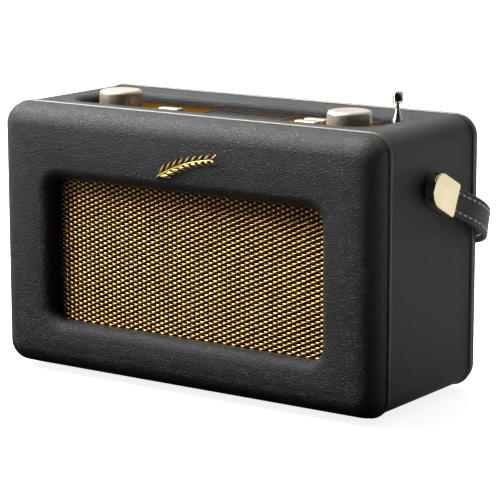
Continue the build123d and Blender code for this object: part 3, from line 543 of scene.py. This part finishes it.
CAD_MATERIALS = {
    "leather": ("cabinet_cover", "rear_panel"),
    "piping": ("front_piping", "rear_piping"),
    "wood": ("cabinet_shell", "front_frame", "rear_battens"),
    "panel": ("control_panel", "socket_plate"),
    "champagne": (
        "power_button",
        "source_button",
        "alarm_button",
        "menu_button",
        "info_button",
        "preset_one_button",
        "preset_two_button",
    ),
    "chrome": (
        "aerial_base_tube",
        "aerial_tube_2",
        "aerial_tube_3",
        "aerial_tube_4",
        "aerial_tube_5",
        "aerial_rod",
    ),
    "steel": (
        "volume_shaft",
        "tuning_shaft",
        "encoders",
        "tuner_module",
        "amplifier_heatsink",
        "speaker_magnet",
        "case_screws",
        "inner_screws",
        "standoffs",
        "handle_pivots",
        "battery_contacts",
    ),
    "black": (
        "battery_door",
        "battery_box",
        "jack_sockets",
        "dc_socket",
        "tact_switches",
        "tuning_plunger",
        "display_bezel",
        "display_module",
        "aerial_bush",
        "aerial_holder",
    ),
    "baffle": ("grille_clamp", "speaker_board", "speaker_frame"),
    "window": ("display_window",),
    "rubber": ("rubber_feet",),
    "board": ("main_board", "control_board"),
    "paper": ("speaker_cone",),
    "cell": ("battery_cells",),
}


def dress_cad_nodes():
    for key, names in CAD_MATERIALS.items():
        for name in names:
            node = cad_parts[name]
            node.data.materials.clear()
            node.data.materials.append(MATERIALS[key])


# ---------------------------------------------------------------- front frame


def front_loops():
    """Loops from the seam at the piping, over the rounded edge and face, into the grille opening."""
    mid_z = HEIGHT / 2
    loops = []

    def add_loop(half_x, half_z, radius, centre_z, y):
        loops.append([at(x, y, centre_z + z) for x, z in rounded_loop(half_x, half_z, radius)])

    half_x = WIDTH / 2
    half_z = HEIGHT / 2
    start_y = FRONT_Y + ROUND_DEEP
    for inset, forward in SEAM_TURN_IN:
        add_loop(half_x - inset, half_z - inset, CORNER_R - inset, mid_z, SEAM_Y + forward)
    for i in range(ROUND_STEPS + 1):
        turn = math.pi / 2 * i / ROUND_STEPS
        inset = ROUND_IN * (1 - math.cos(turn))
        y = start_y - ROUND_DEEP * math.sin(turn)
        add_loop(half_x - inset, half_z - inset, CORNER_R - ROUND_CORNER_SHARE * inset, mid_z, y)
    open_half_z = (GRILLE_HIGH_Z - GRILLE_LOW_Z) / 2
    open_mid_z = (GRILLE_HIGH_Z + GRILLE_LOW_Z) / 2
    begin_r = CORNER_R - ROUND_CORNER_SHARE * ROUND_IN
    begin = (half_x - ROUND_IN, half_z - ROUND_IN, begin_r, mid_z)
    end = (GRILLE_HALF_X + LIP, open_half_z + LIP, GRILLE_R + LIP, open_mid_z)
    for i in range(1, FACE_STEPS):
        share = i / FACE_STEPS
        values = [a + (b - a) * share for a, b in zip(begin, end)]
        crown = FACE_CROWN * math.sin(math.pi * share)
        add_loop(*values, FRONT_Y - crown)
    for i in range(LIP_STEPS + 1):
        turn = math.pi / 2 * i / LIP_STEPS
        grow = LIP * (1 - math.sin(turn))
        y = FRONT_Y + LIP * (1 - math.cos(turn))
        add_loop(GRILLE_HALF_X + grow, open_half_z + grow, GRILLE_R + grow, open_mid_z, y)
    add_loop(GRILLE_HALF_X, open_half_z, GRILLE_R, open_mid_z, GRILLE_Y - REBATE_DEEP)
    end_x = GRILLE_HALF_X + REBATE_OUT
    end_z = open_half_z + REBATE_OUT
    add_loop(end_x, end_z, GRILLE_R, open_mid_z, GRILLE_Y - REBATE_END)
    return loops


def make_front():
    skin = clean(loops_mesh("front_leather", front_loops(), MATERIALS["leather"]))
    foremost = min(skin.data.polygons, key=lambda face: face.center.y)
    if foremost.normal.y > 0:
        skin.data.flip_normals()
    add_modifier(skin, "SOLIDIFY", thickness=SKIN_T * MM, offset=-1.0)
    apply_modifiers(skin)
    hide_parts("front_cover")
    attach(skin, "cabinet")


# ---------------------------------------------------------------- expanded metal grille


def mesh_cell(centre_x, centre_z):
    """One diamond of the expanded metal: four strands' halves round a lens-shaped hole."""
    outer, middle, hole, back_hole, back_outer = [], [], [], [], []
    half_w = MESH_PITCH_X
    half_h = MESH_PITCH_Z / 2
    for i in range(CELL_SIDES):
        turn = math.tau * i / CELL_SIDES
        c = math.cos(turn)
        s = math.sin(turn)
        reach = 1 / (abs(c) / half_w + abs(s) / half_h)
        ox, oz = c * reach, s * reach
        hx = HOLE_HALF_X * c
        hz = HOLE_HALF_Z * s * (1 - HOLE_PINCH * abs(c))
        knuckle = max(abs(c), abs(s)) ** KNUCKLE_SHARP
        rise = KNUCKLE_RISE * knuckle
        tilt = STRAND_TILT * s * (1 - KNUCKLE_FLAT * knuckle)
        mx, mz = (ox + hx) / 2, (oz + hz) / 2
        outer.append((centre_x + ox, GRILLE_Y - rise, centre_z + oz))
        middle_y = GRILLE_Y - rise * MID_RISE - tilt * MID_TILT - STRAND_CROWN
        middle.append((centre_x + mx, middle_y, centre_z + mz))
        hole.append((centre_x + hx, GRILLE_Y - tilt, centre_z + hz))
        back_hole.append((centre_x + hx, GRILLE_Y - tilt + STRAND_T, centre_z + hz))
        back_outer.append((centre_x + ox, GRILLE_Y + STRAND_T, centre_z + oz))
    rings = [outer, middle, hole, back_hole, back_outer]
    faces = []
    for ring in range(len(rings) - 1):
        low = ring * CELL_SIDES
        high = low + CELL_SIDES
        for i in range(CELL_SIDES):
            j = (i + 1) % CELL_SIDES
            faces.append((low + i, low + j, high + j, high + i))
    return [point for ring in rings for point in ring], faces


def make_grille():
    verts = []
    faces = []
    edge_x = GRILLE_HALF_X + MESH_MARGIN
    edge_low = GRILLE_LOW_Z - MESH_MARGIN
    edge_high = GRILLE_HIGH_Z + MESH_MARGIN
    mid_z = (GRILLE_LOW_Z + GRILLE_HIGH_Z) / 2
    columns = int(edge_x / MESH_PITCH_X)
    rows = int((edge_high - edge_low) / 2 / MESH_PITCH_Z)
    for i in range(-columns + 1, columns):
        shift = MESH_PITCH_Z / 2 if i % 2 else 0
        for j in range(-rows, rows + 1):
            z = mid_z + j * MESH_PITCH_Z + shift
            if z - MESH_PITCH_Z / 2 < edge_low or z + MESH_PITCH_Z / 2 > edge_high:
                continue
            cell_verts, cell_faces = mesh_cell(i * MESH_PITCH_X, z)
            start = len(verts)
            verts += [at(*point) for point in cell_verts]
            faces += [tuple(start + k for k in face) for face in cell_faces]
    grille = clean(new_object("grille_expanded_metal", verts, faces, MATERIALS["gold"]), WELD)
    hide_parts("grille_mesh")
    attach(grille, "cabinet")


# ---------------------------------------------------------------- badge


def stem_at(share):
    """The stem's place and direction at a share of its length."""
    half_angle = math.asin(STEM_LONG / 2 / STEM_BOW_R)
    turn = math.pi / 2 + half_angle - 2 * half_angle * share
    x = STEM_BOW_R * math.cos(turn)
    z = STEM_BOW_R * math.sin(turn) - STEM_BOW_R + STEM_LIFT
    return x, z, turn - math.pi / 2


def stem_rows():
    rows = []
    for i in range(STEM_STEPS + 1):
        share = i / STEM_STEPS
        x, z, turn = stem_at(share)
        radius = STEM_R * (1 - STEM_TAPER * share) * (STEM_END if i in (0, STEM_STEPS) else 1)
        row = []
        for j in range(STEM_SIDES):
            around = math.tau * j / STEM_SIDES
            across = radius * math.cos(around)
            y = -STEM_PROUD - radius * math.sin(around) * STEM_FLAT
            row.append((x - across * math.sin(turn), y, z + across * math.cos(turn)))
        rows.append(row)
    return rows


def leaf_rows(share, side):
    """A leaf that bends away from the stem and swells in the middle."""
    start_x, start_z, turn = stem_at(share)
    size = 1.0 - LEAF_SHRINK * share
    lean = turn + side * LEAF_LEAN
    rows = []
    for k in range(LEAF_STEPS + 1):
        t = k / LEAF_STEPS
        swell = math.sin(math.pi * min(1, t * 1.02)) ** 0.8 * (1 - 0.35 * t)
        half = LEAF_HALF_W * size * swell + LEAF_TIP_W
        along = LEAF_LONG * size * t + LEAF_GAP
        lift = 0.35 + 0.75 * math.sin(math.pi * t)
        bend = side * LEAF_BEND * size * math.sin(math.pi * t * 0.5)
        row = []
        for across, rise in LEAF_SECTION:
            v = across * half - bend
            x = start_x + along * math.cos(lean) - v * math.sin(lean)
            z = start_z + along * math.sin(lean) + v * math.cos(lean)
            row.append((x, -(0.25 + lift * 0.5 + rise * 0.8 * size), z))
        rows.append(row)
    return rows


def make_badge():
    """The leaf sprig, with a round stem and domed leaves with a mid rib."""
    low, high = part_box("badge")
    centre = (low + high) / 2
    tilt = Matrix.Rotation(SPRIG_TILT, 4, "Y")
    verts, faces = [], []
    add_rings(verts, faces, stem_rows())
    for i in range(LEAVES):
        for side in (-1, 1):
            add_rings(verts, faces, leaf_rows((i + LEAF_START) / LEAVES, side))
    placed = []
    for x, y, z in verts:
        point = tilt @ Vector((x, 0, z))
        placed.append(Vector((centre.x + point.x * MM, high.y + y * MM, centre.z + point.z * MM)))
    badge = clean(new_object("leaf_sprig", placed, faces, MATERIALS["badge"]), 1e-7)
    add_modifier(badge, "SUBSURF", levels=1, render_levels=1)
    apply_modifiers(badge)
    for polygon in badge.data.polygons:
        polygon.use_smooth = True
    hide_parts("badge")
    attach(badge, "cabinet")


# ---------------------------------------------------------------- knobs


def make_knob(node, body):
    """A knob with nearly upright sides, a rounded edge and a slightly dished top."""
    low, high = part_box(node)
    centre = Vector(((low.x + high.x) / 2, (low.y + high.y) / 2, low.z))
    tall = (high.z - low.z) / MM
    top_r = KNOB_R - KNOB_TAPER
    profile = list(KNOB_SKIRT)
    profile.append((top_r, tall - KNOB_EDGE - 0.5))
    for i in range(KNOB_STEPS + 1):
        turn = math.pi / 2 * i / KNOB_STEPS
        radius = top_r - KNOB_EDGE + KNOB_EDGE * math.cos(turn)
        profile.append((radius, tall - KNOB_EDGE * (1 - math.sin(turn))))
    profile += [(radius, tall - sunk) for radius, sunk in KNOB_DISH]
    knob = lathe(f"{node}_turned", profile, centre, MATERIALS["champagne"])
    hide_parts(node)
    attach(knob, body)


def make_aerial_tip():
    """The inner rod and its turned cap, dished on top."""
    low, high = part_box("aerial_rod")
    centre = Vector(((low.x + high.x) / 2, (low.y + high.y) / 2, low.z))
    tall = (high.z - low.z) / MM
    cap_r = (high.x - low.x) / 2 / MM
    neck = tall - CAP_T
    profile = [
        (0.1, 0.0),
        (ROD_R, 0.0),
        (ROD_R, neck - 0.5),
        (1.3, neck - 0.2),
        (1.5, neck),
        (cap_r - 0.35, neck),
        (cap_r - 0.1, neck + 0.1),
        (cap_r - 0.08, neck + 0.5),
        (cap_r - 0.1, tall - 1.1),
        (cap_r - 0.3, tall - 1.0),
        (cap_r - 0.3, tall - 0.75),
        (cap_r - 0.02, tall - 0.6),
        (cap_r, tall - 0.2),
        (cap_r - 0.18, tall),
        (cap_r - 0.5, tall - 0.02),
        (cap_r - 0.9, tall - 0.35),
        (1.0, tall - 0.6),
        (0.1, tall - 0.65),
    ]
    tip = lathe("aerial_tip_turned", profile, centre, MATERIALS["chrome"], segments=64)
    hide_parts("aerial_rod")
    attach(tip, "aerial_tip")


def make_aerial_tubes():
    """Each tube of the aerial, with its end rolled inwards round the next one."""
    for name, body in AERIAL_TUBES:
        low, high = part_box(name)
        centre = Vector(((low.x + high.x) / 2, (low.y + high.y) / 2, low.z))
        tall = (high.z - low.z) / MM
        radius = (high.x - low.x) / 2 / MM
        bore = radius - TUBE_WALL
        profile = [
            (bore, 0.0),
            (radius, 0.0),
            (radius, tall - 3 * ROLL),
            (radius - ROLL / 2, tall - 2.6 * ROLL),
            (radius - ROLL / 2, tall - 1.9 * ROLL),
            (radius, tall - 1.5 * ROLL),
            (radius, tall - ROLL),
            (radius - 0.3 * ROLL, tall - 0.3 * ROLL),
            (radius - ROLL, tall),
            (bore, tall),
        ]
        tube = lathe_ring(f"{name}_rolled", profile, centre, MATERIALS["chrome"])
        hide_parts(name)
        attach(tube, body)


# ---------------------------------------------------------------- handle


def handle_point(x, along, across, turn=0.0):
    """A point of the handle: x, the distance from the pivot, and across the strap.

    Past its first bend the strap twists and leans a little, eased in with the turn.
    """
    ease = min(1.0, max(0.0, (turn + STRAP_SPLAY) / (STRAP_SPLAY + EASE_END)))
    ease = ease * ease * (3 - 2 * ease)
    tilt = DROOP - TWIST * ease
    out = -across * math.sin(LEAN * ease)
    side = 1 if x >= 0 else -1
    bend = min(turn, math.pi / 2)
    x += side * out * math.cos(bend)
    along += out * math.sin(bend)
    across *= math.cos(LEAN * ease)
    y = PIVOT_Y + along * math.cos(DROOP) + across * math.sin(tilt)
    z = PIVOT_Z - along * math.sin(DROOP) + across * math.cos(tilt)
    return at(x, y, z)


def strap_path():
    """Points (x, along) with the turn of the strap there, from the right pivot round to the left one."""
    points = []
    x, along, turn = STRAP_X, -STRAP_START, 0.0

    def run(length, curve):
        nonlocal x, along, turn
        count = max(2, int(length / STRAP_STEP))
        for _ in range(count):
            points.append((x, along, turn))
            turn += curve * length / count / 2
            x -= math.sin(turn) * length / count
            along += math.cos(turn) * length / count
            turn += curve * length / count / 2

    run(STRAP_START + STRAP_FLAT, 0.0)
    run(STRAP_SPLAY_R * STRAP_SPLAY, -1 / STRAP_SPLAY_R)
    run(STRAP_LEG, 0.0)
    run(STRAP_BEND_R * (math.pi / 2 + STRAP_SPLAY), 1 / STRAP_BEND_R)
    half = int(x / STRAP_STEP)
    start_x = x
    for i in range(half + 1):
        points.append((start_x * (1 - i / half), along, math.pi / 2))
    return points + [(-px, p_along, p_turn) for px, p_along, p_turn in reversed(points[:-1])]


def strap_normal(x, turn):
    side = 1 if x >= 0 else -1
    return side * math.cos(turn), math.sin(turn)


def strap_section():
    """The strap's section: (across, outward) with soft edges and a groove under each stitch line."""
    half_w = STRAP_W / 2
    half_t = STRAP_T / 2
    top = []
    for i in range(SECTION_POINTS):
        v = (-1 + 2 * i / (SECTION_POINTS - 1)) * (half_w - 0.05)
        edge = max(0.0, abs(v) - (half_w - EDGE_SOFT)) / EDGE_SOFT
        round_off = half_t * EDGE_DROP * (1 - math.sqrt(max(0.0, 1 - edge ** 2)))
        groove = GROOVE_DEEP * math.exp(-((abs(v) - STITCH_LINE) / GROOVE_W) ** 2)
        top.append((v, half_t - round_off - groove))
    bottom = [(v, -out) for v, out in reversed(top)]
    return top + bottom


def make_strap():
    path = strap_path()
    section = strap_section()
    loops = []
    for x, along, turn in path:
        nx, ny = strap_normal(x, turn)
        loop = []
        for across, out in section:
            loop.append(handle_point(x + nx * out, along + ny * out, across, turn))
        loops.append(loop)
    strap = clean(loops_mesh("handle_strap_leather", loops, MATERIALS["strap"], closed_ends=True))
    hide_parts("handle_strap")
    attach(strap, "handle")
    make_stitches(path)


def capsule(centre, along, out, across, long, radius):
    """One stitch, lying along a direction: rings that swell in the middle and dip at both ends."""
    rings = []
    for i in range(STITCH_STEPS):
        t = -1 + 2 * i / (STITCH_STEPS - 1)
        r = radius * math.sqrt(max(0.02, 1 - t ** 4))
        dip = -STITCH_DIP * MM * abs(t) ** 3
        ring = []
        for j in range(STITCH_SIDES):
            turn = math.tau * j / STITCH_SIDES
            ring.append(
                centre
                + along * (t * long / 2)
                + out * (r * math.sin(turn) + dip)
                + across * (r * math.cos(turn))
            )
        rings.append(ring)
    return rings


def make_stitches(path):
    """White saddle stitches along both edges, on both faces."""
    verts, faces = [], []
    lengths = [0.0]
    for one, two in zip(path, path[1:]):
        lengths.append(lengths[-1] + math.dist(one[:2], two[:2]))
    total = lengths[-1]
    count = int((total - 2 * STITCH_FIRST) / STITCH_PITCH)
    k = 0
    for i in range(count + 1):
        want = STITCH_FIRST + (total - 2 * STITCH_FIRST) * i / count
        while k < len(lengths) - 2 and lengths[k + 1] < want:
            k += 1
        share = (want - lengths[k]) / (lengths[k + 1] - lengths[k])
        x, along, turn = (one + (two - one) * share for one, two in zip(path[k], path[k + 1]))
        ahead_x, ahead_along = path[k + 1][0] - path[k][0], path[k + 1][1] - path[k][1]
        nx, ny = strap_normal(x, turn)
        for line in (-1, 1):
            across = line * STITCH_LINE
            for face in (-1, 1):
                depth = face * (STRAP_T / 2 - STITCH_SINK)
                spot_x, spot_along = x + nx * depth, along + ny * depth
                base = handle_point(spot_x, spot_along, across, turn)
                ahead = handle_point(spot_x + ahead_x, spot_along + ahead_along, across, turn)
                outward = handle_point(spot_x + nx, spot_along + ny, across, turn)
                tangent = (ahead - base).normalized()
                out = (outward - base).normalized() * face
                sideways = tangent.cross(out)
                slant = (tangent + sideways * STITCH_SLANT * line).normalized()
                stitch = capsule(base, slant, out, sideways, STITCH_LONG * MM, STITCH_R * MM)
                add_rings(verts, faces, stitch)
    stitches = clean(new_object("strap_stitches", verts, faces, MATERIALS["thread"]), STITCH_WELD)
    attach(stitches, "handle")


def add_rings(verts, faces, rings):
    """Adds a closed tube through rings of points to a growing mesh."""
    start = len(verts)
    sides = len(rings[0])
    for ring in rings:
        verts.extend(ring)
    for i in range(len(rings) - 1):
        low = start + i * sides
        for j in range(sides):
            k = (j + 1) % sides
            faces.append((low + j, low + k, low + sides + k, low + sides + j))
    faces.append(tuple(start + j for j in reversed(range(sides))))
    faces.append(tuple(start + (len(rings) - 1) * sides + j for j in range(sides)))


def clip_outline(radius, reach):
    """The clip's D outline as (along, across) points."""
    points = []
    for i in range(33):
        turn = math.pi / 2 + math.pi * i / 32
        points.append((radius * math.cos(turn), radius * math.sin(turn)))
    for sign in (-1, 1):
        arc = []
        for i in range(7):
            turn = math.pi / 2 * i / 6
            along = reach - CLIP_CORNER * (1 - math.sin(turn))
            arc.append((along, sign * (radius - CLIP_CORNER * (1 - math.cos(turn)))))
        points += arc if sign < 0 else list(reversed(arc))
    return points


def clip_rings(side):
    """Outlines of one clip from its inner face to its outer one, with bevelled edges."""
    rings = []
    for i in range(BEVEL_STEPS + 1):
        turn = math.pi / 2 * i / BEVEL_STEPS
        x = CLIP_IN_X + CLIP_BEVEL * (1 - math.cos(turn))
        rings.append((x, CLIP_BEVEL * (1 - math.sin(turn))))
    for i in range(BEVEL_STEPS + 1):
        turn = math.pi / 2 * i / BEVEL_STEPS
        x = CLIP_OUT_X - CLIP_BEVEL * (1 - math.sin(turn))
        rings.append((x, CLIP_BEVEL * (1 - math.cos(turn))))
    loops = []
    for x, shrink in rings:
        outline = clip_outline(CLIP_R - shrink, CLIP_REACH - shrink)
        loops.append([handle_point(side * x, along, across) for along, across in outline])
    return loops


def make_clips():
    """Each clip is a thick brass D with a bevelled edge."""
    for side, word in ((-1, "left"), (1, "right")):
        clip = loops_mesh(f"clip_{word}", clip_rings(side), MATERIALS["brass"], closed_ends=True)
        clean(clip)
        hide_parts("handle_clips")
        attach(clip, "handle")


def make_bosses():
    wall_x = WIDTH / 2
    for side, word in ((-1, "left"), (1, "right")):
        profile = [(radius, side * height) for radius, height in BOSS_PROFILE]
        centre = at(side * wall_x, PIVOT_Y, PIVOT_Z)
        boss = lathe(f"boss_turned_{word}", profile, centre, MATERIALS["brass"], axis="x")
        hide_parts("handle_bosses")
        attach(boss, "cabinet")


# ---------------------------------------------------------------- stage

FLOOR_HALF = 8.0
FLOOR_PAPER = 0.86
FLOOR_GLOW = 0.85
FLOOR_BOUNCE = 0.02
LEFT_WAY = (-0.85, -0.53, 0.0)
LEFT_TONES = [(0.14, grey(0.0)), (0.45, grey(0.10)), (0.90, grey(0.90))]
RIGHT_WAY = (0.70, 0.71, 0.0)
RIGHT_TONES = [(0.05, grey(0.0)), (0.20, grey(0.70)), (0.50, grey(0.92))]
STUDIO_BRIGHT_WAY = (-0.35, 0.75, 0.55)
STUDIO_TONES = [(0.0, grey(0.008)), (0.35, grey(0.13)), (0.75, grey(0.6)), (1.0, grey(0.85))]
SOFTBOXES = (
    ("softbox_top", (-0.75, -0.20, 1.10), (0, 0, 0.1), (0.9, 0.9), 48.0),
    ("softbox_left", (-1.1, -0.9, 0.45), (-0.05, 0, 0.1), (0.7, 0.7), 3.5),
)

CAMERA_AZIMUTH = 34.76
CAMERA_PITCH = 11.30
CAMERA_DISTANCE = 1293.6
CAMERA_RIGHT = 8.684
CAMERA_UP = 69.94
CAMERA_LENS = 166.55
CAMERA_SENSOR = 36.0
CAMERA_NEAR = 0.05
CAMERA_ROLL = -0.08


def add_area(name, place, target, size, power):
    light = bpy.data.lights.new(name, "AREA")
    light.shape = "RECTANGLE"
    light.size, light.size_y = size
    light.energy = power
    obj = bpy.data.objects.new(name, light)
    bpy.context.scene.collection.objects.link(obj)
    obj.location = place
    obj.rotation_euler = (Vector(target) - Vector(place)).to_track_quat("-Z", "Y").to_euler()


def floor_material():
    """White paper to the camera; to every other ray dark paper with a bright card left and right."""
    material = bpy.data.materials.new("floor_paper")
    material.use_nodes = True
    material.node_tree.nodes.clear()
    seen = add(material, "ShaderNodeBsdfDiffuse", {"Color": (*grey(FLOOR_PAPER), 1)})
    glow = add(material, "ShaderNodeEmission", {"Color": (1, 1, 1, 1), "Strength": FLOOR_GLOW})
    bright = add(material, "ShaderNodeAddShader", {0: seen.outputs[0], 1: glow.outputs[0]})
    coords = add(material, "ShaderNodeTexCoord")
    glows = []
    for way, tones in ((LEFT_WAY, LEFT_TONES), (RIGHT_WAY, RIGHT_TONES)):
        spot = {0: coords.outputs["Object"], 1: way}
        reach = add(material, "ShaderNodeVectorMath", spot, operation="DOT_PRODUCT")
        tone = ramp(material, reach.outputs["Value"], tones)
        glows.append(add(material, "ShaderNodeEmission", {"Color": tone}))
    cards = add(material, "ShaderNodeAddShader", {0: glows[0].outputs[0], 1: glows[1].outputs[0]})
    paper = add(material, "ShaderNodeBsdfDiffuse", {"Color": (*grey(FLOOR_BOUNCE), 1)})
    dull = add(material, "ShaderNodeAddShader", {0: cards.outputs[0], 1: paper.outputs[0]})
    path = add(material, "ShaderNodeLightPath")
    mix = add(
        material,
        "ShaderNodeMixShader",
        {0: path.outputs["Is Camera Ray"], 1: dull.outputs[0], 2: bright.outputs[0]},
    )
    out = add(material, "ShaderNodeOutputMaterial")
    link(material, mix.outputs[0], out.inputs[0])
    return material


def studio_world():
    """A studio that is bright behind and above the radio and dark round the camera."""
    world = bpy.data.worlds.new("studio")
    world.use_nodes = True
    background = world.node_tree.nodes["Background"]
    coords = add(world, "ShaderNodeTexCoord")
    facing = add(
        world,
        "ShaderNodeVectorMath",
        {0: coords.outputs["Generated"], 1: Vector(STUDIO_BRIGHT_WAY).normalized()},
        operation="DOT_PRODUCT",
    )
    tone = ramp(world, facing.outputs["Value"], STUDIO_TONES)
    path = add(world, "ShaderNodeLightPath")
    seen = add(
        world,
        "ShaderNodeMix",
        {"Factor": path.outputs["Is Camera Ray"], 6: tone, 7: (1, 1, 1, 1)},
        data_type="RGBA",
    )
    link(world, seen.outputs[2], background.inputs[0])
    return world


def make_stage():
    scene = bpy.context.scene
    verts = [(x * FLOOR_HALF, y * FLOOR_HALF, 0) for x, y in ((-1, -1), (1, -1), (1, 1), (-1, 1))]
    floor = new_object("floor", verts, [(0, 1, 2, 3)], floor_material(), smooth=False)
    scene.world = studio_world()
    for name, place, target, size, power in SOFTBOXES:
        add_area(name, place, target, size, power)
    azimuth = math.radians(CAMERA_AZIMUTH)
    pitch = math.radians(CAMERA_PITCH)
    back = Vector(
        (math.sin(azimuth) * math.cos(pitch), -math.cos(azimuth) * math.cos(pitch), math.sin(pitch))
    )
    right = Vector((math.cos(azimuth), math.sin(azimuth), 0))
    target = at(0, 0, CAMERA_UP) + right * CAMERA_RIGHT * MM
    camera_data = bpy.data.cameras.new("camera")
    camera_data.lens = CAMERA_LENS
    camera_data.sensor_width = CAMERA_SENSOR
    camera_data.clip_start = CAMERA_NEAR
    camera = bpy.data.objects.new("camera", camera_data)
    scene.collection.objects.link(camera)
    camera.location = target + back * CAMERA_DISTANCE * MM
    look = (-back).to_track_quat("-Z", "Y").to_matrix().to_4x4()
    roll = Matrix.Rotation(math.radians(CAMERA_ROLL), 4, "Z")
    camera.rotation_euler = (look @ roll).to_euler()
    scene.camera = camera
    scene.view_settings.view_transform = "Standard"


dress_cad_nodes()
make_front()
make_grille()
make_badge()
make_knob("volume_knob", "volume")
make_knob("tuning_knob", "tuning")
make_aerial_tip()
make_aerial_tubes()
make_strap()
make_clips()
make_bosses()
make_stage()
